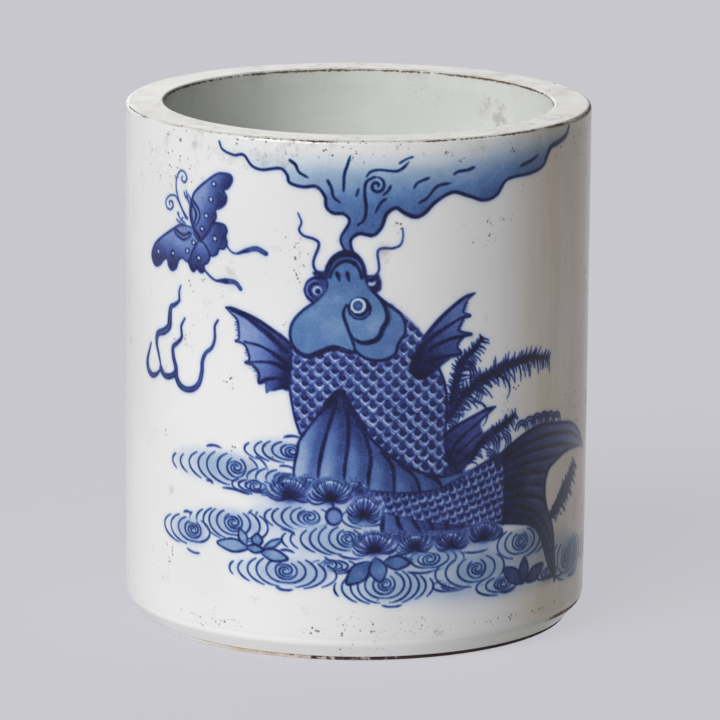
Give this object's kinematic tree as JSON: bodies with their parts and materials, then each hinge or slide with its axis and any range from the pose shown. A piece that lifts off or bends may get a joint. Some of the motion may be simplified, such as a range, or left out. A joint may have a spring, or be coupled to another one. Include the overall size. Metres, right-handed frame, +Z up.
{
  "type": "brush pot",
  "caption": "Thick-walled straight cylindrical porcelain pot with a flat lip and an unglazed foot ring, open at the top, for standing writing brushes in.",
  "frame": {"origin": "centre of the foot ring's resting face", "axes": "+Z up along the pot's axis, towards the mouth; +Y away from the painted front, so the front faces -Y; +X to the right seen from the front"},
  "size_m": [0.125, 0.125, 0.14],
  "materials": {
    "body_biscuit": "unglazed white porcelain clay, matt",
    "foot_biscuit": "bare clay burnt brown in the kiln, matt",
    "outer_glaze": "clear white glaze, glossy",
    "lip_glaze": "clear white glaze, softly worn",
    "inner_glaze": "pale grey-green glaze, glossy"
  },
  "bodies": {
    "root": {"wall_cylinder": "body_biscuit", "base_slab": "body_biscuit", "foot_ring": "foot_biscuit", "outer_glaze": "outer_glaze", "lip_glaze": "lip_glaze", "inner_glaze": "inner_glaze", "base_glaze": "outer_glaze"}
  },
  "joints": []
}
